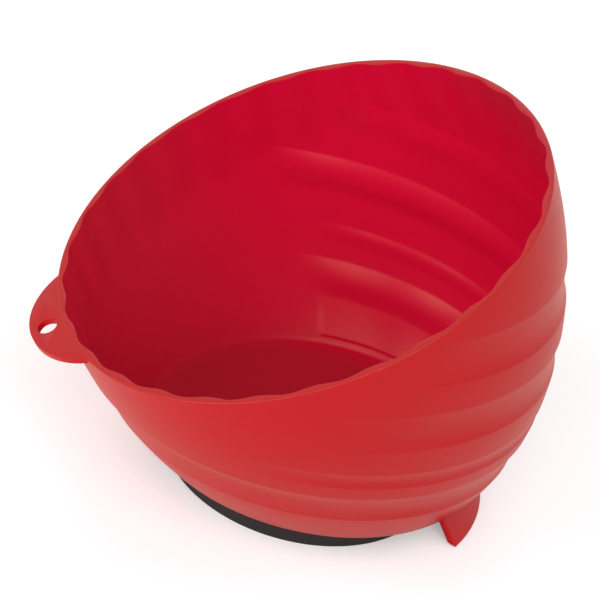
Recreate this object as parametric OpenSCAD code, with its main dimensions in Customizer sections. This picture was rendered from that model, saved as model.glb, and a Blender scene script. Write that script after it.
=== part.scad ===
// Leaning bowl for small steel parts, standing on a round magnet in a rubber jacket.
// Origin at the centre of the magnet's underside. +X points to the bowl's high side, +Z is up.
// All sizes are in millimetres and degrees.

/* [Bowl] */
// Radius of the mouth at its outer edge
rim_r = 75; // [72:0.5:80]
// Depth of the half egg that the bowl is cut from, along the mouth's axis
egg_depth = 117; // [113:0.5:124]
// Lean of the mouth towards the low side
lean = 30; // [26:0.5:32]
// Height of the mouth's centre above the bowl's flat bottom
mouth_rise = 81; // [78:0.5:84]
// Distance of the mouth's centre from the magnet's axis, towards the low side
mouth_shift = 20.5; // [18:0.5:23]
// Thickness of the wall at the mouth
wall = 1.5; // [1.3:0.1:2.2]
// Thickness of the wall low down, along the mouth's axis
wall_low = 2.6; // [2.2:0.1:3.2]
// Thickness of the floor
floor_t = 2.2; // [1.6:0.1:3]
// How far the wall swells out below the mouth
belly = 0.4; // [0:0.1:0.8]
// Depth under the mouth at which the wall has swollen out
belly_depth = 28; // [20:1:40]

/* [Mouth] */
// Number of scallops round the mouth
scallops = 30; // [24:1:32]
// How far the scallops thicken the wall at the mouth
scallop_depth = 0.9; // [0.3:0.1:1.6]
// Length of the flutes that the scallops run out into
flute_length = 18; // [10:1:24]

/* [Coves] */
// Depth of the large coves on the high side
cove_depth = 1; // [0.6:0.1:1.4]
// Depth of the small third cove
small_depth = 0.5; // [0.2:0.05:0.8]
// Depth of the lowest cove on the low side, since it runs right round
ring_depth = 0.4; // [0.2:0.05:0.5]
// Where a cove is deepest, as a share of its height from its upper edge
cove_deepest = 0.58; // [0.4:0.02:0.7]
// Angle over which a cove runs out
fade_span = 35; // [25:1:45]
// Angle from the high side at which the first cove has run out
fade_1 = 92; // [85:1:100]
// Angle at which the second cove has run out
fade_2 = 108; // [95:1:112]
// Angle at which the third cove has run out
fade_3 = 130; // [115:1:135]
// Angle at which the coves have run out on the inside
fade_inside = 84; // [75:1:95]
// Height of the first cove's upper edge, as a share of the bowl's height
cove_1_top = 0.734; // [0.71:0.002:0.75]
// Height of the first cove's lower edge
cove_1_low = 0.62; // [0.59:0.002:0.63]
// Height of the second cove's upper edge
cove_2_top = 0.54; // [0.52:0.002:0.56]
// Height of the second cove's lower edge
cove_2_low = 0.426; // [0.41:0.002:0.44]
// Height of the third cove's upper edge
cove_3_top = 0.342; // [0.33:0.002:0.36]
// Height of the third cove's lower edge
cove_3_low = 0.288; // [0.28:0.002:0.3]
// Height of the lowest cove's upper edge
ring_top = 0.24; // [0.23:0.002:0.26]
// Height of the lowest cove's lower edge
ring_low = 0.134; // [0.13:0.002:0.15]

/* [Hanging tab] */
// Radius of the tab's round outline
tab_r = 23.5; // [18:0.5:30]
// How far the tab reaches past the mouth
tab_reach = 9.9; // [9:0.1:16]
// Thickness of the tab
tab_t = 2; // [1.5:0.1:3]
// Diameter of the hole in the tab
tab_hole_d = 6; // [4:0.5:7]
// Plastic left between the hole and the tab's outer edge
tab_edge = 2.3; // [1.6:0.1:3]

/* [Foot] */
// Outer radius of the foot at the ground
foot_r = 59.5; // [57:0.5:64]
// Thickness of the foot, measured level
foot_t = 3; // [2:0.1:4]
// Room between the magnet's jacket and the foot, at the level of the bowl's bottom
foot_room = 5; // [3:0.5:7]
// Half of the angle that the foot covers round the high side
foot_half = 52; // [35:1:60]
// Gap between the foot and the ground
foot_gap = 0.5; // [0.3:0.1:1]

/* [Magnet base] */
// Diameter of the rubber jacket
base_d = 88; // [82:0.5:92]
// Thickness of the rubber jacket
base_t = 8.5; // [7.5:0.1:10]
// Thickness of the rubber under the magnets
skin_t = 0.9; // [0.6:0.1:1.4]
// Thickness of the rubber round the steel disc
jacket_wall = 3; // [2:0.1:4]
// Radius of the jacket's rounded lower edge
jacket_round = 0.5; // [0.3:0.1:2]
// Thickness of the steel disc
disc_t = 3; // [2.5:0.1:3.5]
// How far the steel disc lies below the jacket's top edge
disc_recess = 0.2; // [0.1:0.05:0.4]
// Diameter of each disc magnet, as a share of the steel disc's radius
magnet_share = 0.2925; // [0.25:0.0025:0.305]
// Steel left between the outer ring of magnets and the disc's edge
magnet_edge = 2.5; // [1.5:0.25:4]
// Gap between the two rings of magnets
ring_gap = 3; // [1.5:0.25:4]

/* [Fastening] */
// Diameter of the screw's shank
screw_d = 6; // [5:0.5:6]
// Diameter of the screw's head
head_d = 11.5; // [10:0.5:13]
// Height of the screw's head
head_h = 3.6; // [3:0.1:4.5]
// Diameter of the washer
washer_d = 18; // [15:0.5:24]
// Thickness of the washer
washer_t = 1.2; // [0.8:0.1:2]
// Diameter of the bush's body
bush_d = 11; // [10:0.5:12]
// Diameter of the bush's flange under the steel disc
flange_d = 15; // [14:0.5:16]
// Thickness of the bush's flange
flange_t = 1.5; // [1:0.1:2]
// Width of the cross recess in the screw's head
cross_w = 1.4; // [1:0.1:1.8]
// Span of the cross recess
cross_span = 5.6; // [4:0.2:7]
// Depth of the cross recess
cross_depth = 2; // [1:0.1:2.4]
// Room between a hole and what passes through it, all round
play = 0.3; // [0.2:0.05:0.5]
// Room between the jacket's pockets and what they hold, all round
pocket_play = 0.08; // [0.05:0.01:0.15]

/* [Hidden] */
$fn = 96;
outer_count = 12;
inner_count = 6;
columns = 3 * scallops;
row_pitch = 6;
tall_cove = 9;
row_least = 0.2;
row_stack = 0.35;
foot_root = 14;
foot_into = 0.5;
tab_drop = 0.1;
through = 1;
rim_z = base_t + mouth_rise;
high_z = rim_z + rim_r * sin(lean);
floor_z = base_t + floor_t;
bowl_h = high_z - base_t;
disc_z = base_t - disc_recess - disc_t;
disc_r = base_d / 2 - jacket_wall;
magnet_t = disc_z - skin_t;
magnet_d = magnet_share * disc_r;
ring_outer_r = disc_r - magnet_edge - magnet_d / 2;
ring_inner_r = ring_outer_r - magnet_d - ring_gap;
function at_share(share) = base_t + share * bowl_h;
tops = [for (share = [ring_top, cove_3_top, cove_2_top, cove_1_top]) at_share(share)];
lows = [for (share = [ring_low, cove_3_low, cove_2_low, cove_1_low]) at_share(share)];
depths = [cove_depth, small_depth, cove_depth, cove_depth];
least = [ring_depth, 0, 0, 0];
ends = [fade_3, fade_3, fade_2, fade_1];
last = len(tops) - 1;

// Rows of the wall: the bottom, the rows of each cove from its lower edge up, those between, and the mouth
function between(low, high) =
  let (steps = max(1, round((high - low) / row_pitch)))
  [for (s = [1 : 1 : steps - 1]) low + (high - low) * s / steps];
function cove_rows(i) =
  let (tall = tops[i] - lows[i], m = cove_deepest)
  [for (s = tall > tall_cove ? [1, (1 + m) / 2, m, m / 2, 0] : [1, m, 0]) tops[i] - s * tall];
below = between(base_t, lows[0]);
levels = concat(
  [base_t],
  below,
  [for (i = [0 : last]) for (z = concat(cove_rows(i), between(tops[i], i < last ? lows[i + 1] : high_z))) z],
  [high_z]);
rows = len(levels);
ring_row = len(below) + 1;

function ease(t) = let (u = max(0, min(1, t))) u * u * (3 - 2 * u);
function turned(j) = 360 * j / columns;
function off_high(a) = abs(a > 180 ? a - 360 : a);

// Depth under the mouth, along its axis, of the egg's point at angle a and height z
function egg_h(a, z, r, b) =
  let (c = cos(lean), k = sin(lean) * r * cos(a), d = z - rim_z, q = c * c + k * k / (b * b))
  (-c * d + sign(cos(a)) * sqrt(max(0, c * c * d * d - q * (d * d - k * k)))) / q;
function egg_r(h, r, b) = r * sqrt(max(0, 1 - h * h / (b * b)));

// How deep the coves cut at angle a and height z: outside, and inside where the wall follows them
function fade(end, a) = 1 - ease(1 + (off_high(a) - end) / fade_span);
function cove(i, z) =
  let (s = max(0, min(1, (tops[i] - z) / (tops[i] - lows[i]))), m = cove_deepest)
  s < m ? (2 - s / m) * s / m : 1 - pow((s - m) / (1 - m), 2);
function dip_outside(a, z) =
  max([for (i = [0 : last]) max(least[i], depths[i] * fade(ends[i], a)) * cove(i, z)]);
function dip_inside(a, z) =
  max([for (i = [0 : last]) depths[i] * fade(fade_inside, a) * cove(i, z)]);

// How much the scallops thicken the wall at angle a and depth h
function flute(a, h) =
  scallop_depth * (0.5 - 0.5 * cos(scallops * a)) * (1 - ease(h / flute_length));

// Height of row k at angle a: level, and stacked close under the mouth where the mouth is lower
function row_z(k, a, r, low) =
  k == 0 ? low
  : max(low + row_least * k, min(levels[k], rim_z + r * sin(lean) * cos(a) - row_stack * (rows - 1 - k)));
function placed(a, h, r) =
  let (x = r * cos(a))
  [x * cos(lean) + h * sin(lean) - mouth_shift, r * sin(a), rim_z + x * sin(lean) - h * cos(lean)];
function skin(a, k, share, low) =
  let (r = rim_r - share * wall, b = egg_depth - share * wall_low)
  let (z = row_z(k, a, r, low), h = k == rows - 1 ? 0 : egg_h(a, z, r, b))
  let (hollow = share < 1 ? dip_outside(a, z) : dip_inside(a, z) + flute(a, h))
  placed(a, h, egg_r(h, r, b) + (k == 0 ? 0 : belly * ease(h / belly_depth) - hollow));

module shell() {
  points = concat(
    [for (k = [0 : rows - 1]) for (j = [0 : columns - 1]) skin(turned(j), k, 0, base_t)],
    [for (k = [0 : rows - 1]) for (j = [0 : columns - 1]) skin(turned(j), k, 1, floor_z)]);
  inside = rows * columns;
  faces = concat(
    [[for (j = [0 : columns - 1]) j]],
    [[for (j = [0 : columns - 1]) inside + columns - 1 - j]],
    [for (k = [0 : rows - 2]) for (j = [0 : columns - 1])
      let (a = k * columns + j, b = k * columns + (j + 1) % columns)
      for (t = [[a, a + columns, b], [b, a + columns, b + columns]]) t],
    [for (k = [0 : rows - 2]) for (j = [0 : columns - 1])
      let (a = inside + k * columns + j, b = inside + k * columns + (j + 1) % columns)
      for (t = [[a, b, a + columns], [b, b + columns, a + columns]]) t],
    [for (j = [0 : columns - 1])
      let (a = (rows - 1) * columns + j, b = (rows - 1) * columns + (j + 1) % columns)
      for (t = [[a, a + inside, b], [b, a + inside, b + inside]]) t]);
  polyhedron(points, faces);
}

// The shell's filling up to the lowest cove, inside a skin that lies that share of the wall's thickness deep
module filling(share, low) {
  points = [for (k = [0 : ring_row]) for (j = [0 : columns - 1]) skin(turned(j), k, share, low)];
  faces = concat(
    [[for (j = [0 : columns - 1]) j]],
    [[for (j = [0 : columns - 1]) (ring_row + 1) * columns - 1 - j]],
    [for (k = [0 : ring_row - 1]) for (j = [0 : columns - 1])
      let (a = k * columns + j, b = k * columns + (j + 1) % columns)
      for (t = [[a, a + columns, b], [b, a + columns, b + columns]]) t]);
  polyhedron(points, faces);
}

module at_mouth() {
  translate([-mouth_shift, 0, rim_z]) rotate([0, -lean, 0]) children();
}

module hanging_tab() {
  color("firebrick") at_mouth() translate([0, 0, -tab_t - tab_drop]) difference() {
    linear_extrude(tab_t) difference() {
      translate([tab_r - rim_r - tab_reach, 0]) circle(tab_r);
      circle(rim_r, $fn = columns);
    }
    translate([tab_edge + tab_hole_d / 2 - rim_r - tab_reach, 0, -through])
      cylinder(d = tab_hole_d, h = tab_t + 2 * through);
  }
}

// The foot leans in from the ground and runs up until it ends in the middle of the bowl's wall
module foot() {
  seat_r = base_d / 2 + foot_room + foot_t;
  climb = base_t + foot_root - foot_gap;
  top_r = foot_r + (seat_r - foot_r) * climb / (base_t - foot_gap);
  difference() {
    rotate(-foot_half) rotate_extrude(angle = 2 * foot_half) polygon([
      [foot_r - foot_t, foot_gap],
      [foot_r, foot_gap],
      [top_r, foot_gap + climb],
      [top_r - foot_t, foot_gap + climb]]);
    filling(foot_into, base_t + foot_into * floor_t);
  }
}

module bowl() {
  color("crimson") union() {
    difference() {
      shell();
      translate([0, 0, base_t - through]) cylinder(d = screw_d + 2 * play, h = floor_t + 2 * through);
    }
    foot();
  }
}

module ring(count, radius) {
  for (i = [0 : count - 1]) rotate(360 * i / count) translate([radius, 0, 0]) children();
}

module base_jacket() {
  color("dimgray") difference() {
    rotate_extrude() union() {
      translate([0, jacket_round]) square([base_d / 2, base_t - jacket_round]);
      square([base_d / 2 - jacket_round, base_t]);
      translate([base_d / 2 - jacket_round, jacket_round]) circle(jacket_round);
    }
    translate([0, 0, disc_z]) cylinder(r = disc_r + pocket_play, h = base_t);
    translate([0, 0, skin_t]) {
      ring(outer_count, ring_outer_r) cylinder(d = magnet_d + 2 * pocket_play, h = base_t);
      ring(inner_count, ring_inner_r) cylinder(d = magnet_d + 2 * pocket_play, h = base_t);
    }
    translate([0, 0, skin_t]) cylinder(d = flange_d + 2 * pocket_play, h = base_t);
  }
}

module steel_disc() {
  color("lightsteelblue") translate([0, 0, disc_z]) difference() {
    cylinder(r = disc_r, h = disc_t);
    translate([0, 0, -through]) cylinder(d = bush_d + 2 * pocket_play, h = disc_t + 2 * through);
  }
}

module thread_bush() {
  color("silver") difference() {
    union() {
      translate([0, 0, disc_z - flange_t]) cylinder(d = flange_d, h = flange_t);
      translate([0, 0, disc_z - flange_t]) cylinder(d = bush_d, h = flange_t + disc_t);
    }
    translate([0, 0, disc_z - flange_t - through])
      cylinder(d = screw_d + 2 * pocket_play, h = disc_t + flange_t + 2 * through);
  }
}

module screw_washer() {
  color("gainsboro") translate([0, 0, floor_z]) difference() {
    cylinder(d = washer_d, h = washer_t);
    translate([0, 0, -through]) cylinder(d = screw_d + 2 * play, h = washer_t + 2 * through);
  }
}

module centre_screw() {
  seat = floor_z + washer_t;
  tip = disc_z - flange_t;
  dome = (head_d * head_d / 4 + head_h * head_h) / (2 * head_h);
  color("gainsboro") difference() {
    union() {
      translate([0, 0, tip]) cylinder(d = screw_d, h = seat - tip + head_h / 2);
      intersection() {
        translate([0, 0, seat + head_h - dome]) sphere(dome);
        translate([0, 0, seat]) cylinder(d = head_d + through, h = head_h + through);
      }
    }
    translate([0, 0, seat + head_h])
      for (turn = [0, 90]) rotate(turn) cube([cross_span, cross_w, 2 * cross_depth], center = true);
  }
}

module magnet(count, radius, i) {
  color(i % 2 == 0 ? "slategray" : "lightslategray")
    rotate(360 * (i - 1) / count) translate([radius, 0, skin_t]) cylinder(d = magnet_d, h = magnet_t);
}

module magnet_outer(i) { magnet(outer_count, ring_outer_r, i); }
module magnet_inner(i) { magnet(inner_count, ring_inner_r, i); }

bowl();
hanging_tab();
base_jacket();
steel_disc();
thread_bush();
centre_screw();
screw_washer();
magnet_outer(1);  // magnet_outer_01
magnet_outer(2);  // magnet_outer_02
magnet_outer(3);  // magnet_outer_03
magnet_outer(4);  // magnet_outer_04
magnet_outer(5);  // magnet_outer_05
magnet_outer(6);  // magnet_outer_06
magnet_outer(7);  // magnet_outer_07
magnet_outer(8);  // magnet_outer_08
magnet_outer(9);  // magnet_outer_09
magnet_outer(10);  // magnet_outer_10
magnet_outer(11);  // magnet_outer_11
magnet_outer(12);  // magnet_outer_12
magnet_inner(1);  // magnet_inner_01
magnet_inner(2);  // magnet_inner_02
magnet_inner(3);  // magnet_inner_03
magnet_inner(4);  // magnet_inner_04
magnet_inner(5);  // magnet_inner_05
magnet_inner(6);  // magnet_inner_06
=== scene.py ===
import math
import bpy
from mathutils import Matrix, Vector


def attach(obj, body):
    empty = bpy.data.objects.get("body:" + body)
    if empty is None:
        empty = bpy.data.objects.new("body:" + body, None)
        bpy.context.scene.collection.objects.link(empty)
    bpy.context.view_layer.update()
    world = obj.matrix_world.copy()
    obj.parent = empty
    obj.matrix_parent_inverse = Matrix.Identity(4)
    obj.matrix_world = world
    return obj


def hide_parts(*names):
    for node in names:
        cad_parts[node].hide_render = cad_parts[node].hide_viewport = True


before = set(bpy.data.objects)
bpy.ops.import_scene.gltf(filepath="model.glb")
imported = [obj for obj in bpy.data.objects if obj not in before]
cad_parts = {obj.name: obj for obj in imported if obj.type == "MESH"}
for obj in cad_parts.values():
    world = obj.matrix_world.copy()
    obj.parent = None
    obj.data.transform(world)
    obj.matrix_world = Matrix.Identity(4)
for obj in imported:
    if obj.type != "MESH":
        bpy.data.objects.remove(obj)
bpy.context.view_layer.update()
bpy.ops.object.select_all(action="DESELECT")
scene = bpy.context.scene
mm = 0.001
mergeDistance = 0.001       # doubles lie within this, in millimetres
nearlyLevel = 0.1           # an edge's direction rises less than this
sameHeight = 0.02           # in millimetres
print("frame loaded:", len(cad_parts), "nodes")


# small helpers for modelling

def ease(t):
    t = max(0.0, min(1.0, t))
    return t * t * (3 - 2 * t)


def mix(a, b, t):
    return [p + (q - p) * t for p, q in zip(a, b)]


def pickOnly(piece):
    bpy.ops.object.select_all(action="DESELECT")
    bpy.context.view_layer.objects.active = piece
    piece.select_set(True)


def editMode(piece, kind="VERT"):
    pickOnly(piece)
    bpy.ops.object.mode_set(mode="EDIT")
    bpy.ops.mesh.select_mode(type=kind)


def objectMode():
    bpy.ops.object.mode_set(mode="OBJECT")


def closeUp(piece):
    # doubles first, then all faces outwards
    editMode(piece)
    bpy.ops.mesh.select_all(action="SELECT")
    bpy.ops.mesh.remove_doubles(threshold=mergeDistance * mm)
    bpy.ops.mesh.normals_make_consistent(inside=False)
    objectMode()


def pickEdges(piece, wanted):
    # wanted(middle, along) says which edges stay selected
    objectMode()
    mesh = piece.data
    for part in (mesh.polygons, mesh.edges, mesh.vertices):
        part.foreach_set("select", [False] * len(part))
    for edge in mesh.edges:
        a, b = (mesh.vertices[i].co for i in edge.vertices)
        edge.select = wanted((a + b) / 2 / mm, (b - a).normalized())
    editMode(piece, "EDGE")


def applyModifier(piece, kind, **settings):
    pickOnly(piece)
    modifier = piece.modifiers.new(kind.title(), kind)
    for name, value in settings.items():
        setattr(modifier, name, value)
    bpy.ops.object.modifier_apply(modifier=modifier.name)


def joinBy(piece, tool, operation):
    applyModifier(piece, "BOOLEAN", object=tool, operation=operation, solver="EXACT")
    bpy.data.objects.remove(tool)


def roundEdges(size, segments):
    # rounds the edges that pickEdges left selected
    bpy.ops.mesh.bevel(offset=size * mm, segments=segments, affect="EDGES", clamp_overlap=True)
    objectMode()


def smoothByAngle(piece, degrees):
    pickOnly(piece)
    bpy.ops.object.shade_smooth_by_angle(angle=math.radians(degrees))


# the moulded bowl: half an egg, tipped over, cut level at the bottom and across at the mouth

bowlShell = {
    "mouthRadius": 75.0,
    "eggDepth": 117.0,
    "lean": 30.0,            # degrees
    "mouthHeight": 89.5,     # middle of the mouth above the ground
    "mouthShift": 20.5,      # towards the low side
    "wall": 1.5,             # at the mouth
    "wallLow": 2.6,          # along the mouth's axis
    "belly": 0.4,            # the wall swells out this far, within this depth under the mouth
    "bellyDepth": 28.0,
    "underside": 8.5,        # above the ground
    "underRise": 1.2,        # height of the underside's round edge
    "underReach": 0.03,      # and its width, as a share of the way to the screw hole
    "floorHeight": 10.7,
    "floorFillet": 1.3,      # along the floor
    "filletRise": 0.7,       # up the wall, as a share of that
    "screwHole": 3.3,        # radius
    "outerRound": 0.35,      # at the mouth's edges
    "innerRound": 0.3,
    "outerFirst": 1.6,       # depth of the first row under a rounded edge, as a share of the round
    "innerFirst": 1.8,
    "roundSteps": 4,
    "columns": 360,
    "rowPitch": 1.25,
    "rowStack": 0.28,        # rows stay this far apart where the mouth cuts them short
    "markGap": 0.45,         # rows on either side of a crisp edge are this far from it
    "smooth": 32.0,          # degrees
}
# rows across the flat faces and the fillet, as shares of the way
undersideRows = (0, 0.02, 0.3, 0.6, 0.9, 1)
underRoundRows = (0.33, 0.67)
filletRows = (0.15, 0.3, 0.45, 0.6, 0.75, 0.9, 1)
floorRows = (0.12, 0.3, 0.5, 0.7, 0.9, 0.99, 1)
# even: the scallops keep their depth this far under the mouth, and have run out at length; turn in degrees
scallops = {"count": 30, "depth": 1.0, "even": 12.0, "length": 28.0, "turn": 2.0}
# heights of a cove's edges, its depth outside on the high side, its least depth on the low side,
# its rise inside, and the angles from the high side where it has run out, outside and inside
coves = [
    {"top": 95.5, "low": 82.0, "depth": 0.95, "least": 0.0,
     "rise": 0.5, "endOutside": 92.0, "endInside": 70.0},
    {"top": 72.5, "low": 59.0, "depth": 0.95, "least": 0.0,
     "rise": 1.25, "endOutside": 108.0, "endInside": 93.0},
    {"top": 49.0, "low": 42.6, "depth": 0.5, "least": 0.0,
     "rise": 0.58, "endOutside": 130.0, "endInside": 84.0},
    {"top": 37.0, "low": 24.4, "depth": 1.05, "least": 0.75,
     "rise": 1.08, "endOutside": 130.0, "endInside": 95.0},
]
coveDeepest = [0.58, 0.24]  # on the high and the low side, as a share of a cove's height from its upper edge
coveShift = [90.0, 150.0]   # angles between which the deepest place moves up
coveFade = 35.0             # degrees
# on the inside a cove is a rib with a crisp upper edge that sinks back softly, and ends in a blunter tip
insideRib = {"highest": 0.48, "fade": 20.0}
# the thicker band low on the inside of the high wall, over the foot
innerPad = {
    "top": 25.0,
    "low": 13.4,
    "lip": 0.5,
    "depth": 0.3,
    "halfAngle": 90.6,
    "upright": 0.56,         # degrees for each millimetre of height, so that its ends stand upright
    "turnSpan": 15.0,        # degrees within which columns turn with an end
    "turnFade": 20.0,        # height above the pad at which they have turned back
}

sinLean = math.sin(math.radians(bowlShell["lean"]))
cosLean = math.cos(math.radians(bowlShell["lean"]))


def eggDepthAt(angle, z, r, b):
    # how far under the mouth, along its axis, the egg has the height z
    k = sinLean * r * math.cos(angle)
    d = z - bowlShell["mouthHeight"]
    q = cosLean ** 2 + (k / b) ** 2
    root = math.sqrt(max(0.0, (cosLean * d) ** 2 - q * (d * d - k * k)))
    return (-cosLean * d + math.copysign(root, math.cos(angle))) / q


def eggRadiusAt(depth, r, b):
    swell = bowlShell["belly"] * ease(depth / bowlShell["bellyDepth"])
    return r * math.sqrt(max(0.0, 1 - (depth / b) ** 2)) + swell


def mouthPoint(angle, depth, radius):
    x = radius * math.cos(angle)
    return [x * cosLean + depth * sinLean - bowlShell["mouthShift"],
            radius * math.sin(angle),
            bowlShell["mouthHeight"] + x * sinLean - depth * cosLean]


def offHighSide(angle):
    return abs(math.degrees(math.atan2(math.sin(angle), math.cos(angle))))


def coveDip(angle, z):
    # how deep the coves cut into the outside
    away = offHighSide(angle)
    for cove in coves:
        if cove["low"] < z < cove["top"]:
            deep = cove["depth"] * (1 - ease(1 + (away - cove["endOutside"]) / coveFade))
            share = (cove["top"] - z) / (cove["top"] - cove["low"])
            moved = ease((away - coveShift[0]) / (coveShift[1] - coveShift[0]))
            deepest = coveDeepest[0] + (coveDeepest[1] - coveDeepest[0]) * moved
            if share < deepest:
                shape = (2 - share / deepest) * share / deepest
            else:
                shape = 1 - ((share - deepest) / (1 - deepest)) ** 2
            return max(deep, cove["least"]) * shape
    return 0.0


def ribRise(angle, z):
    # how far the coves stand out on the inside
    away = offHighSide(angle)
    for cove in coves:
        if cove["low"] < z < cove["top"]:
            high = cove["rise"] * (1 - ease(1 + (away - cove["endInside"]) / insideRib["fade"]))
            share = (cove["top"] - z) / (cove["top"] - cove["low"]) / insideRib["highest"]
            if share < 1:
                shape = (2 - share) * share
            else:
                shape = 1 - ease((share - 1) / (1 / insideRib["highest"] - 1))
            return high * shape
    return 0.0


def flute(angle, depth):
    # how far the scallops thicken the wall
    even, length = scallops["even"], scallops["length"]
    wave = 0.5 - 0.5 * math.cos(scallops["count"] * (angle + math.radians(scallops["turn"])))
    return scallops["depth"] * wave * (1 - ease((depth - even) / (length - even)))


def padRise(angle, z):
    top, low, lip = (innerPad[k] for k in ("top", "low", "lip"))
    if offHighSide(angle) > innerPad["halfAngle"] or not low - lip < z < top:
        return 0.0
    return innerPad["depth"] * min((top - z) / (top - low), (z - low + lip) / lip)


def padTurn(angle, z):
    # columns near the pad's ends are turned to run along them
    top, low = innerPad["top"], innerPad["low"]
    near = max(0.0, 1 - abs(offHighSide(angle) - innerPad["halfAngle"]) / innerPad["turnSpan"])
    height = max(low, min(top, z)) - (low + top) / 2
    fade = 1 - ease((z - top) / innerPad["turnFade"])
    turn = math.radians(innerPad["upright"] * height * near * fade)
    return -turn if math.sin(angle) > 0 else turn


def outerWall(angle, z):
    r, b = bowlShell["mouthRadius"], bowlShell["eggDepth"]
    depth = eggDepthAt(angle, z, r, b)
    return mouthPoint(angle, depth, eggRadiusAt(depth, r, b) - coveDip(angle, z))


def innerWall(angle, z):
    r = bowlShell["mouthRadius"] - bowlShell["wall"]
    b = bowlShell["eggDepth"] - bowlShell["wallLow"]
    pad = padRise(angle, z)
    angle += padTurn(angle, z)
    depth = eggDepthAt(angle, z, r, b)
    raised = ribRise(angle, z) + flute(angle, depth) + pad
    return mouthPoint(angle, depth, eggRadiusAt(depth, r, b) - raised)


def wallLevels(low, high, marks):
    # level rows, with one on every mark and one close to it on either side
    gap = bowlShell["markGap"]
    marks = sorted([low, high] + [z + off for z in marks for off in (-gap, 0, gap)])
    marks = [z for z in marks if low <= z <= high]
    levels = [low]
    for a, b in zip(marks, marks[1:]):
        steps = max(1, round((b - a) / bowlShell["rowPitch"]))
        levels += [a + (b - a) * (i + 1) / steps for i in range(steps)]
    return levels


def wallAngles():
    # even columns, but a close pair of them at either end of the inner pad
    close = 0.15             # of a step
    step = 2 * math.pi / bowlShell["columns"]
    angles = [step * (i + 0.5) for i in range(bowlShell["columns"])]
    end = math.radians(innerPad["halfAngle"])
    for turn in (end, 2 * math.pi - end):
        for i, angle in enumerate(angles):
            if abs(angle - turn) < step:
                angles[i] = turn + math.copysign(close * step, angle - turn)
    return angles


def roundedEdge(angle, edgeRadius, size, outer):
    # a quarter round at the mouth: up over the outer edge, or down over the inner one
    steps = bowlShell["roundSteps"]
    points = []
    for step in range(steps + 1):
        t = math.radians(90 * step / steps)
        if outer:
            points.append(mouthPoint(angle, size * (1 - math.sin(t)), edgeRadius - size * (1 - math.cos(t))))
        else:
            points.append(mouthPoint(angle, size * (1 - math.cos(t)), edgeRadius + size * (1 - math.sin(t))))
    return points


def bowlSection(angle, outerLevels, innerLevels):
    # the wall's section at one angle, once round from the screw hole's lower edge to its upper one
    shell = bowlShell
    radius, stack = shell["mouthRadius"], shell["rowStack"]
    outerRound, innerRound = shell["outerRound"], shell["innerRound"]

    corner = outerWall(angle, shell["underside"])
    corner[2] = shell["underside"]
    turn = math.atan2(corner[1], corner[0])
    holeX, holeY = shell["screwHole"] * math.cos(turn), shell["screwHole"] * math.sin(turn)
    holeLow = [holeX, holeY, shell["underside"]]
    holeHigh = [holeX, holeY, shell["floorHeight"]]
    flat = mix(corner, holeLow, shell["underReach"])
    section = [mix(holeLow, flat, t) for t in undersideRows]
    wallStart = outerWall(angle, outerLevels[0])
    section += [mix(mix(flat, corner, t), mix(corner, wallStart, t), t) for t in underRoundRows]

    top = mouthPoint(angle, outerRound * shell["outerFirst"], radius)[2]
    last = len(outerLevels) - 1
    section += [outerWall(angle, min(z, top - stack * (last - i))) for i, z in enumerate(outerLevels)]

    inner = radius - shell["wall"] - flute(angle, 0)
    section += roundedEdge(angle, radius, outerRound, True)
    section.append(mouthPoint(angle, 0, (radius - outerRound + inner + innerRound) / 2))
    section += roundedEdge(angle, inner, innerRound, False)

    top = mouthPoint(angle, innerRound * shell["innerFirst"], radius - shell["wall"])[2]
    section += [innerWall(angle, min(z, top - stack * i)) for i, z in enumerate(reversed(innerLevels))]

    wallEnd = innerWall(angle, innerLevels[0])
    corner = innerWall(angle, shell["floorHeight"])
    corner[2] = shell["floorHeight"]
    away = math.hypot(corner[0], corner[1])
    floorStart = mix(corner, [0, 0, shell["floorHeight"]], shell["floorFillet"] / away)
    section += [mix(mix(wallEnd, corner, t), mix(corner, floorStart, t), t) for t in filletRows]
    section += [mix(floorStart, holeHigh, t) for t in floorRows]
    return section


def makeBowl():
    shell = bowlShell
    columns = shell["columns"]
    high = shell["mouthHeight"] + shell["mouthRadius"] * sinLean
    edges = [cove[k] for cove in coves for k in ("top", "low")]
    padEdges = [innerPad["top"], innerPad["low"], innerPad["low"] - innerPad["lip"]]
    filletTop = shell["floorHeight"] + shell["floorFillet"] * shell["filletRise"]
    outerLevels = wallLevels(shell["underside"] + shell["underRise"], high, edges)
    innerLevels = wallLevels(filletTop, high, edges + padEdges)
    sections = [bowlSection(angle, outerLevels, innerLevels) for angle in wallAngles()]
    rows = len(sections[0])
    # a ring drawn out row by row into a long sleeve, which is then laid along the section
    bpy.ops.mesh.primitive_circle_add(vertices=columns, radius=1.0)
    bowl = bpy.context.object
    bowl.name = "bowl_shell"
    editMode(bowl)
    bpy.ops.mesh.select_all(action="SELECT")
    for _ in range(rows - 1):
        bpy.ops.mesh.extrude_region_move(TRANSFORM_OT_translate={"value": (0, 0, -1)})
    objectMode()
    for vertex in bowl.data.vertices:
        x, y, z = vertex.co
        column = round(math.atan2(y, x) / (2 * math.pi) * columns) % columns
        vertex.co = Vector(sections[column][round(-z)]) * mm
    # the sleeve's two ends meet in the screw hole
    bowl.data.update()
    editMode(bowl, "EDGE")
    bpy.ops.mesh.select_all(action="DESELECT")
    bpy.ops.mesh.select_non_manifold()
    bpy.ops.mesh.bridge_edge_loops()
    objectMode()
    closeUp(bowl)
    return bowl


bowl = makeBowl()
print("bowl wall:", len(bowl.data.polygons), "faces")


# the hanging tab at the low side of the mouth

hangingTab = {
    "radius": 23.5,
    "reach": 9.9,
    "thickness": 2.0,
    "drop": 0.1,             # under the mouth's plane
    "holeRadius": 3.0,
    "holeEdge": 2.3,         # from the tab's outer end to the hole
    "root": 0.8,             # how far it runs into the bowl's wall
    "edgeRound": 0.35,
    "facets": 160,
    "cutFacets": 12,         # a quarter of the facets on a round cut of 1 mm; larger ones have more
    "cutterHeight": 20.0,
}


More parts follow.
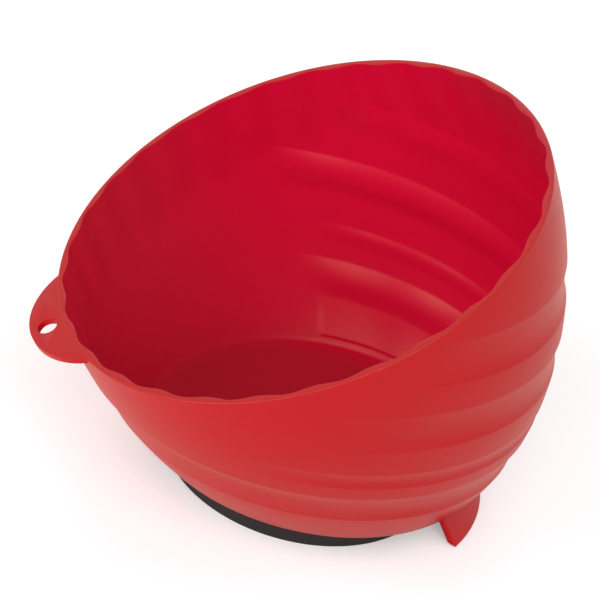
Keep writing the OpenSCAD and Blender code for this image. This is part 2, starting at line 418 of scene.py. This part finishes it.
def makeTab():
    mouthRadius = bowlShell["mouthRadius"]
    outEnd = -mouthRadius - hangingTab["reach"]
    centre = (outEnd + hangingTab["radius"]) * mm
    bpy.ops.mesh.primitive_circle_add(vertices=hangingTab["facets"], radius=hangingTab["radius"] * mm,
                                      fill_type="NGON", location=(centre, 0, -hangingTab["drop"] * mm))
    tab = bpy.context.object
    bpy.ops.object.transform_apply(location=True)
    editMode(tab)
    bpy.ops.mesh.select_all(action="SELECT")
    down = (0, 0, -hangingTab["thickness"] * mm)
    bpy.ops.mesh.extrude_region_move(TRANSFORM_OT_translate={"value": down})
    objectMode()
    closeUp(tab)
    # only the crescent outside the mouth's wall is kept, with its hole
    holePlace = outEnd + hangingTab["holeEdge"] + hangingTab["holeRadius"]
    for radius, place in ((mouthRadius - hangingTab["root"], 0), (hangingTab["holeRadius"], holePlace)):
        facets = round(hangingTab["cutFacets"] * math.sqrt(radius)) * 4
        bpy.ops.mesh.primitive_cylinder_add(vertices=facets, radius=radius * mm, location=(place * mm, 0, 0),
                                            depth=hangingTab["cutterHeight"] * mm)
        cutter = bpy.context.object
        bpy.ops.object.transform_apply(location=True)
        joinBy(tab, cutter, "DIFFERENCE")
    # the mould leaves its edges a little round
    inWall = mouthRadius - hangingTab["root"] / 2
    pickEdges(tab, lambda middle, along: abs(along.z) < nearlyLevel and middle.xy.length > inWall)
    roundEdges(hangingTab["edgeRound"], 3)
    turn = Matrix.Translation((-bowlShell["mouthShift"] * mm, 0, bowlShell["mouthHeight"] * mm))
    tab.data.transform(turn @ Matrix.Rotation(-math.radians(bowlShell["lean"]), 4, "Y"))
    return tab


tab = makeTab()
print("hanging tab:", len(tab.data.polygons), "faces")


# the foot under the high side

standFoot = {
    "radius": 59.5,          # at its lower edge
    "thickness": 3.0,
    "seatRadius": 52.0,      # where its slope reaches the level of the bowl's underside
    "gap": 0.5,              # above the ground
    "halfAngle": 52.0,
    "steps": 68,
    "edgeRound": 0.45,
    "roundBelow": 3.0,       # edges up to this far above the underside are rounded
    "into": 1.0,             # how deep its top ends in the bowl's wall
    "clear": 1.0,            # its top is at least this far above the underside
    "climbFrom": 4.0,        # above its lower edge
    "climbTo": 30.0,
    "climbStep": 0.1,
}


def makeFoot():
    radius, gap, underside = standFoot["radius"], standFoot["gap"], bowlShell["underside"]
    leanIn = (standFoot["seatRadius"] - radius) / (underside - gap)
    aloft = 20               # the upper corners' height until they are set on the slope

    def climb(turn, start):
        # up the foot's slope until it is deep enough in the bowl's wall
        z = gap + standFoot["climbFrom"]
        while z < standFoot["climbTo"]:
            r = start + leanIn * (z - gap)
            x, y = r * math.cos(turn) + bowlShell["mouthShift"], r * math.sin(turn)
            u = x * cosLean + (z - bowlShell["mouthHeight"]) * sinLean
            depth = x * sinLean - (z - bowlShell["mouthHeight"]) * cosLean
            wallRadius = eggRadiusAt(depth, bowlShell["mouthRadius"], bowlShell["eggDepth"])
            if z > underside + standFoot["clear"] and math.hypot(u, y) < wallRadius - standFoot["into"]:
                break
            z += standFoot["climbStep"]
        return Vector((r * math.cos(turn), r * math.sin(turn), z)) * mm

    bpy.ops.mesh.primitive_plane_add()
    foot = bpy.context.object
    start = -math.radians(standFoot["halfAngle"])
    inside = radius - standFoot["thickness"]
    corners = [(inside, gap), (radius, gap), (inside, aloft), (radius, aloft)]
    for vertex, (r, z) in zip(foot.data.vertices, corners):
        vertex.co = Vector((r * math.cos(start), r * math.sin(start), z)) * mm
    editMode(foot)
    bpy.ops.mesh.select_all(action="SELECT")
    bpy.ops.mesh.spin(steps=standFoot["steps"], angle=2 * start, center=(0, 0, 0), axis=(0, 0, 1))
    objectMode()
    closeUp(foot)
    for vertex in foot.data.vertices:
        x, y, z = vertex.co / mm
        if z > aloft / 2:
            vertex.co = climb(math.atan2(y, x), math.hypot(x, y))
    pickEdges(foot, lambda middle, along: middle.z < underside + standFoot["roundBelow"])
    roundEdges(standFoot["edgeRound"], 3)
    return foot


foot = makeFoot()
print("foot:", len(foot.data.polygons), "faces")

for part in (tab, foot):
    applyModifier(bowl, "BOOLEAN", object=part, operation="UNION", solver="MANIFOLD")
    bpy.data.objects.remove(part)
closeUp(bowl)
smoothByAngle(bowl, bowlShell["smooth"])
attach(bowl, "root")
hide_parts("bowl", "hanging_tab")
print("bowl in one piece:", len(bowl.data.polygons), "faces")


# the screw and washer that hold the magnet, on the bowl's floor

centreScrew = {
    "seat": 11.9,
    "headRadius": 5.75,
    "headHeight": 3.6,
    "headRound": 2.6,
    "shankRadius": 3.0,
    "shankInto": 0.5,        # how far the shank runs up into the head
    "shankFacets": 64,
    "tip": 3.8,
    "crossSpan": 5.6,
    "crossWidth": 1.4,
    "crossDepth": 2.0,
    "crossTaper": 0.62,      # the recess's cutter narrows to this share at its bottom
    "crossReach": 3.2,       # the recess's edges lie within this radius
    "edgeRound": 0.12,
    "smooth": 30.0,          # degrees, for the washer too
}
screwWasher = {"low": 10.7, "thickness": 1.2, "radius": 9.0, "holeRadius": 3.3, "edgeRound": 0.2}


def addCylinder(radius, low, high, vertices=96):
    bpy.ops.mesh.primitive_cylinder_add(vertices=vertices, radius=radius * mm, depth=(high - low) * mm,
                                        location=(0, 0, (low + high) / 2 * mm))
    bpy.ops.object.transform_apply(location=True)
    return bpy.context.object


def makeWasher():
    low = screwWasher["low"]
    top = low + screwWasher["thickness"]
    washer = addCylinder(screwWasher["radius"], low, top)
    joinBy(washer, addCylinder(screwWasher["holeRadius"], low - 1, top + 1), "DIFFERENCE")
    # a stamped edge: round all along both rims
    pickEdges(washer, lambda middle, along: abs(along.z) < nearlyLevel)
    roundEdges(screwWasher["edgeRound"], 3)
    washer.name = "washer_plain"
    return washer


def makeScrew():
    seat, reach = centreScrew["seat"], centreScrew["crossReach"]
    top = seat + centreScrew["headHeight"]
    screw = addCylinder(centreScrew["headRadius"], seat, top)
    # pan head: its upper edge rolled over with a large round
    pickEdges(screw, lambda middle, along: abs(along.z) < nearlyLevel and middle.z > top - sameHeight)
    roundEdges(centreScrew["headRound"], 9)
    shankTop = seat + centreScrew["shankInto"]
    shank = addCylinder(centreScrew["shankRadius"], centreScrew["tip"], shankTop, centreScrew["shankFacets"])
    joinBy(screw, shank, "UNION")
    for turn in (0, 90):
        bpy.ops.mesh.primitive_cube_add(size=1.0, location=(0, 0, top * mm))
        slot = bpy.context.object
        slot.scale = [centreScrew[k] * mm for k in ("crossSpan", "crossWidth", "crossDepth")]
        slot.scale.z *= 2
        slot.rotation_euler.z = math.radians(turn)
        bpy.ops.object.transform_apply(location=True, rotation=True, scale=True)
        # the recess narrows towards its bottom
        for vertex in slot.data.vertices:
            if vertex.co.z < top * mm:
                vertex.co.x *= centreScrew["crossTaper"]
                vertex.co.y *= centreScrew["crossTaper"]
        joinBy(screw, slot, "DIFFERENCE")
    pickEdges(screw, lambda middle, along: abs(middle.z - top) < sameHeight and middle.xy.length < reach)
    roundEdges(centreScrew["edgeRound"], 2)
    screw.name = "screw_pan_head"
    return screw


washer, screw = makeWasher(), makeScrew()
for piece, node in ((washer, "screw_washer"), (screw, "centre_screw")):
    closeUp(piece)
    smoothByAngle(piece, centreScrew["smooth"])
    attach(piece, "root")
    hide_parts(node)
print("screw and washer:", len(screw.data.polygons) + len(washer.data.polygons), "faces")


# materials

def linear(code):
    # sRGB hex to the linear colour that shaders work in
    parts = [int(code[i:i + 2], 16) / 255 for i in (1, 3, 5)]
    return [c / 12.92 if c <= 0.04045 else ((c + 0.055) / 1.055) ** 2.4 for c in parts] + [1.0]


def addNode(material, kind, links=(), **settings):
    # one node with its settings, and its links as (own input, other node, other output)
    node = material.node_tree.nodes.new(kind)
    for name, value in settings.items():
        if name in node.inputs:
            node.inputs[name].default_value = value
        elif hasattr(node, name):
            setattr(node, name, value)
        else:
            node.inputs[name.replace("_", " ")].default_value = value
    for own, other, output in links:
        material.node_tree.links.new(other.outputs[output], node.inputs[own])
    return node


def newMaterial(name):
    material = bpy.data.materials.new(name)
    material.use_nodes = True
    material.node_tree.nodes.clear()
    return material


def noise(material, place, size, detail):
    # size in millimetres
    return addNode(material, "ShaderNodeTexNoise", [("Vector", place, "Object")],
                   Scale=1 / (size * mm), Detail=detail)


def blend(material, factor, output, first, second):
    # two colours mixed; the first is a hex code or an earlier blend
    links = [("Factor", factor, output)]
    if not isinstance(first, str):
        links.append(("A", first, "Result"))
    mixed = addNode(material, "ShaderNodeMix", links, data_type="RGBA")
    if isinstance(first, str):
        mixed.inputs["A"].default_value = linear(first)
    mixed.inputs["B"].default_value = linear(second)
    return mixed


grainHeight = 0.2           # in millimetres
plastic = {
    # the next colour is painted light: a brighter, more saturated red than the outside's, for light coming
    # through the wall
    "inside": "#CA0934",
    # the next colour is painted shade: a duller inside red for the low side, which gets less light through
    # the wall
    "insideShaded": "#C01C34",
    "outside": "#BA061B",
    # the next colour is painted shade: a darker, duller red for the mouth's flat edge, which faces up into
    # the lamps
    "edge": "#AE1E22",
    "cloud": "#A00816",
    # the next colour is painted shade for the floor over the black magnet, where no light comes through the
    # wall
    "overMagnet": "#AE1B2E",
    "scuff": "#D8606A",
    "sheen": "#FFF5D2",
    "roughness": [0.28, 0.35],
    "cloudShare": 0.12,
    "cloudSize": 35.0,
    "scuffShare": 0.25,
    "scuffBand": [0.77, 0.83],      # only the noise's peaks are scuffs
    "scuffSize": [2.2, 2.2, 14.0],
    "scuffTurn": (0.3, 0.25, 0.0),
    "grainSize": 1.2,
    "grainStrength": 0.04,
    "midRadius": 74.15,             # the egg halfway through the wall
    "midDepth": 115.7,
    "midBand": [0.998, 1.002],      # the inside's painted glow, for light through the wall, gives way to the outside's colour here
    "rimShadeBand": [-0.004, -0.002],  # and the wall's to the painted shade of the mouth's flat edge here
    "shadedSideBand": [0.0, -0.75],       # the low side's inside gets less of that glow: painted shade
    "magnetShadeBand": [57.0, 40.0],     # radii between which the floor over the magnet gets painted shade
}


def mouldedPolypropylene():
    # injection moulded PP from a satin tool: deep red with a low warm sheen, faintly cloudy, with fine
    # handling marks; it lets a little light through, which is painted into its colour: a glow on the inside,
    # less of it on the low side, and shade on the floor over the black magnet
    red = newMaterial("polypropylene_moulded_satin_red")
    place = addNode(red, "ShaderNodeTexCoord")
    cloudy = noise(red, place, plastic["cloudSize"], 3.0)
    # seen from the egg's middle, at its scale, the wall's mid surface is one unit away
    midRadius, midDepth = plastic["midRadius"] * mm, plastic["midDepth"] * mm
    egg = addNode(red, "ShaderNodeMapping", [("Vector", place, "Object")], vector_type="TEXTURE",
                  Location=(-bowlShell["mouthShift"] * mm, 0, bowlShell["mouthHeight"] * mm),
                  Rotation=(0, -math.radians(bowlShell["lean"]), 0), Scale=(midRadius, midRadius, midDepth))
    reach = addNode(red, "ShaderNodeVectorMath", [("Vector", egg, "Vector")], operation="LENGTH")
    past = addNode(red, "ShaderNodeMapRange", [("Value", reach, "Value")],
                   From_Min=plastic["midBand"][0], From_Max=plastic["midBand"][1])
    along = addNode(red, "ShaderNodeSeparateXYZ", [("Vector", egg, "Vector")])
    # painted shade: the inside of the low side gets less light through the wall, so its colour is painted a
    # duller red
    lowSideShade = addNode(red, "ShaderNodeMapRange", [("Value", along, "X")], interpolation_type="SMOOTHSTEP",
                      From_Min=plastic["shadedSideBand"][0], From_Max=plastic["shadedSideBand"][1])
    glowingLining = blend(red, lowSideShade, "Result", plastic["inside"], plastic["insideShaded"])
    # painted light: the inside's colour is brighter than the outside's, for light coming through the wall
    walls = blend(red, past, "Result", glowingLining, plastic["outside"])
    # painted shade: the mouth's flat edge, which faces up into the lamps, is painted a darker, duller red
    rimShade = addNode(red, "ShaderNodeMapRange", [("Value", along, "Z")],
                   From_Min=plastic["rimShadeBand"][0], From_Max=plastic["rimShadeBand"][1])
    side = blend(red, rimShade, "Result", walls, plastic["edge"])
    streaks = addNode(red, "ShaderNodeMapRange", [("Value", cloudy, "Fac")], To_Max=plastic["cloudShare"])
    tint = blend(red, streaks, "Result", side, plastic["cloud"])
    # pale scuffs about half a millimetre wide and a few long, drawn a little coarser so that they show
    across = addNode(red, "ShaderNodeMapping", [("Vector", place, "Object")], Rotation=plastic["scuffTurn"],
                     Scale=[1 / (size * mm) for size in plastic["scuffSize"]])
    lines = addNode(red, "ShaderNodeTexNoise", [("Vector", across, "Vector")], Scale=1.0, Detail=1.0)
    scuffs = addNode(red, "ShaderNodeMapRange", [("Value", lines, "Fac")], To_Max=plastic["scuffShare"],
                     From_Min=plastic["scuffBand"][0], From_Max=plastic["scuffBand"][1])
    worn = blend(red, scuffs, "Result", tint, plastic["scuff"])
    # the distance from the magnet's axis, so height doesn't count
    level = addNode(red, "ShaderNodeVectorMath", [("Vector", place, "Object")], operation="MULTIPLY")
    level.inputs[1].default_value = (1, 1, 0)
    away = addNode(red, "ShaderNodeVectorMath", [("Vector", level, "Vector")], operation="LENGTH")
    # painted shade: the floor over the black magnet is darker, for the light that the wall lets through
    # elsewhere
    far, near = (radius * mm for radius in plastic["magnetShadeBand"])
    overMagnet = addNode(red, "ShaderNodeMapRange", [("Value", away, "Value")],
                         interpolation_type="SMOOTHSTEP", From_Min=far, From_Max=near)
    shade = blend(red, overMagnet, "Result", worn, plastic["overMagnet"])
    grain = noise(red, place, plastic["grainSize"], 2.0)
    gloss = addNode(red, "ShaderNodeMapRange", [("Value", cloudy, "Fac")],
                    To_Min=plastic["roughness"][0], To_Max=plastic["roughness"][1])
    bump = addNode(red, "ShaderNodeBump", [("Height", grain, "Fac")],
                   Strength=plastic["grainStrength"], Distance=grainHeight * mm)
    skin = addNode(red, "ShaderNodeBsdfPrincipled",
                   [("Base Color", shade, "Result"), ("Roughness", gloss, "Result"),
                    ("Normal", bump, "Normal")], IOR=1.49, Specular_IOR_Level=0.26)
    skin.inputs["Specular Tint"].default_value = linear(plastic["sheen"])
    addNode(red, "ShaderNodeOutputMaterial", [("Surface", skin, "BSDF")])
    return red


rubber = {"clean": "#181A1B", "dusty": "#212325", "roughness": 0.55, "dustSize": 12.0, "grainSize": 0.6,
          "grainStrength": 0.12}


def mouldedRubber():
    # black nitrile rubber from a bead-blasted mould: matt, slightly dusty, with a soft broad sheen
    black = newMaterial("rubber_moulded_black")
    place = addNode(black, "ShaderNodeTexCoord")
    dust = noise(black, place, rubber["dustSize"], 4.0)
    tint = blend(black, dust, "Fac", rubber["clean"], rubber["dusty"])
    grain = noise(black, place, rubber["grainSize"], 2.0)
    bump = addNode(black, "ShaderNodeBump", [("Height", grain, "Fac")],
                   Strength=rubber["grainStrength"], Distance=grainHeight * mm)
    skin = addNode(black, "ShaderNodeBsdfPrincipled",
                   [("Base Color", tint, "Result"), ("Normal", bump, "Normal")],
                   IOR=1.52, Roughness=rubber["roughness"], Specular_IOR_Level=0.35)
    addNode(black, "ShaderNodeOutputMaterial", [("Surface", skin, "BSDF")])
    return black


zinc = {"dull": "#B9BDC2", "bright": "#CDD0D3", "roughness": [0.24, 0.38]}
nickel = {"dull": "#C2BEB4", "bright": "#D2CFC6", "roughness": [0.14, 0.28]}
coatSize = 4.0              # of the plating's clouds, in millimetres


def platedSteel(name, plating):
    # plated steel: metal with a thin cloudy coat, so its gloss wanders a little
    steel = newMaterial(name)
    place = addNode(steel, "ShaderNodeTexCoord")
    cloudy = noise(steel, place, coatSize, 4.0)
    tint = blend(steel, cloudy, "Fac", plating["dull"], plating["bright"])
    gloss = addNode(steel, "ShaderNodeMapRange", [("Value", cloudy, "Fac")],
                    To_Min=plating["roughness"][0], To_Max=plating["roughness"][1])
    skin = addNode(steel, "ShaderNodeBsdfPrincipled",
                   [("Base Color", tint, "Result"), ("Roughness", gloss, "Result")], Metallic=1.0)
    addNode(steel, "ShaderNodeOutputMaterial", [("Surface", skin, "BSDF")])
    return steel


def dress(piece, material):
    piece.data.materials.clear()
    piece.data.materials.append(material)


redPlastic = mouldedPolypropylene()
blackRubber = mouldedRubber()
zincSteel = platedSteel("steel_zinc_plated_bright", zinc)
nickelSteel = platedSteel("nickel_plated_magnet", nickel)
dress(bowl, redPlastic)
dress(screw, zincSteel)
dress(washer, zincSteel)
for name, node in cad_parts.items():
    if name == "base_jacket":
        dress(node, blackRubber)
    elif name.startswith("magnet"):
        dress(node, nickelSteel)
    elif name not in ("bowl", "hanging_tab"):
        dress(node, zincSteel)
print("materials on", len(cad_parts) - 2, "CAD nodes and the bowl")


# floor, light and camera

studio = {
    "floorSize": 6.0,        # in metres
    "floorColour": "#EAEAEA",
    "floorInGloss": "#FFE0D2",
    "floorGlow": 0.30,       # near the object; it fades to full white between these distances
    "floorFades": [0.25, 1.0],
    "floorMirrored": 0.1,
    "worldLevel": 0.29,
    "backdropLevel": 1.0,
    "backdropMirrored": 0.9,
    "aim": (0, 0, 0.06),     # where the softboxes look
}
# name, place in metres, width in metres, power in watts
softboxes = [
    ("key_softbox", (-1.11, -0.10, 0.51), 0.9, 8.4),
    ("front_softbox", (-0.26, -0.91, 0.80), 1.3, 11.0),
    ("back_softbox", (0.46, 1.01, 0.51), 0.9, 5.0),
    ("side_softbox", (0.91, -0.15, 0.83), 0.9, 2.0),
]


def seenDirectly(tree, mirrored):
    # one for rays from the camera, and a share of it for mirrored and transmitted ones,
    # so that gloss shows the backdrop
    rays = addNode(tree, "ShaderNodeLightPath")
    other = addNode(tree, "ShaderNodeMath", [(0, rays, "Is Glossy Ray"), (1, rays, "Is Transmission Ray")],
                    operation="MAXIMUM")
    part = addNode(tree, "ShaderNodeMath", [(0, other, "Value")], operation="MULTIPLY")
    part.inputs[1].default_value = mirrored
    return addNode(tree, "ShaderNodeMath", [(0, rays, "Is Camera Ray"), (1, part, "Value")],
                   operation="MAXIMUM")


bpy.ops.mesh.primitive_plane_add(size=studio["floorSize"])
floor = bpy.context.object
floor.name = "studio_floor"
paper = newMaterial("paper_backdrop_white")
# gloss shows the paper in a warmer light than the camera does
rays = addNode(paper, "ShaderNodeLightPath")
white = blend(paper, rays, "Is Glossy Ray", studio["floorColour"], studio["floorInGloss"])
sheet = addNode(paper, "ShaderNodeBsdfDiffuse", [("Color", white, "Result")])
seen = seenDirectly(paper, studio["floorMirrored"])
spot = addNode(paper, "ShaderNodeTexCoord")
away = addNode(paper, "ShaderNodeVectorMath", [("Vector", spot, "Object")], operation="LENGTH")
fades = addNode(paper, "ShaderNodeMapRange", [("Value", away, "Value")], From_Min=studio["floorFades"][0],
                From_Max=studio["floorFades"][1], To_Min=studio["floorGlow"], To_Max=1.0)
glow = addNode(paper, "ShaderNodeMath", [(0, seen, "Value"), (1, fades, "Result")], operation="MULTIPLY")
light = addNode(paper, "ShaderNodeEmission", [("Strength", glow, "Value")])
both = addNode(paper, "ShaderNodeAddShader", [(0, sheet, "BSDF"), (1, light, "Emission")])
addNode(paper, "ShaderNodeOutputMaterial", [("Surface", both, "Shader")])
dress(floor, paper)

world = bpy.data.worlds.new("studio_world")
scene.world = world
world.use_nodes = True
sky = world.node_tree.nodes["Background"]
sky.inputs["Color"].default_value = (1, 1, 1, 1)
seen = seenDirectly(world, studio["backdropMirrored"])
level = addNode(world, "ShaderNodeMapRange", [("Value", seen, "Value")], To_Min=studio["worldLevel"],
                To_Max=studio["backdropLevel"])
world.node_tree.links.new(level.outputs["Result"], sky.inputs["Strength"])

for name, place, width, power in softboxes:
    lamp = bpy.data.lights.new(name, "AREA")
    lamp.shape = "DISK"
    lamp.size = width
    lamp.energy = power
    box = bpy.data.objects.new(name, lamp)
    scene.collection.objects.link(box)
    box.location = place
    box.rotation_euler = (Vector(studio["aim"]) - box.location).to_track_quat("-Z", "Y").to_euler()
    box.visible_camera = False

photoCamera = {
    "place": (-0.2111, -0.4308, 0.3502),
    "elevation": 31.48,
    "azimuth": -24.63,
    "roll": 14.32,
    "focal": 1848.04,        # in pixels of the frame
    "frame": 600,            # pixels across
    "sensor": 36.0,          # in millimetres
}

cameraData = bpy.data.cameras.new("photo_camera")
cameraData.sensor_width = photoCamera["sensor"]
cameraData.lens = photoCamera["sensor"] * photoCamera["focal"] / photoCamera["frame"]
camera = bpy.data.objects.new("photo_camera", cameraData)
scene.collection.objects.link(camera)
scene.camera = camera
el, az, roll = (math.radians(photoCamera[k]) for k in ("elevation", "azimuth", "roll"))
ahead = Vector((-math.sin(az) * math.cos(el), math.cos(az) * math.cos(el), -math.sin(el)))
right = Vector((math.cos(az), math.sin(az), 0))
up = right.cross(ahead)
right, up = right * math.cos(roll) + up * math.sin(roll), up * math.cos(roll) - right * math.sin(roll)
pose = Matrix((right, up, -ahead)).transposed().to_4x4()
pose.translation = photoCamera["place"]
camera.matrix_world = pose

scene.view_settings.view_transform = "Standard"
print("studio and camera set")
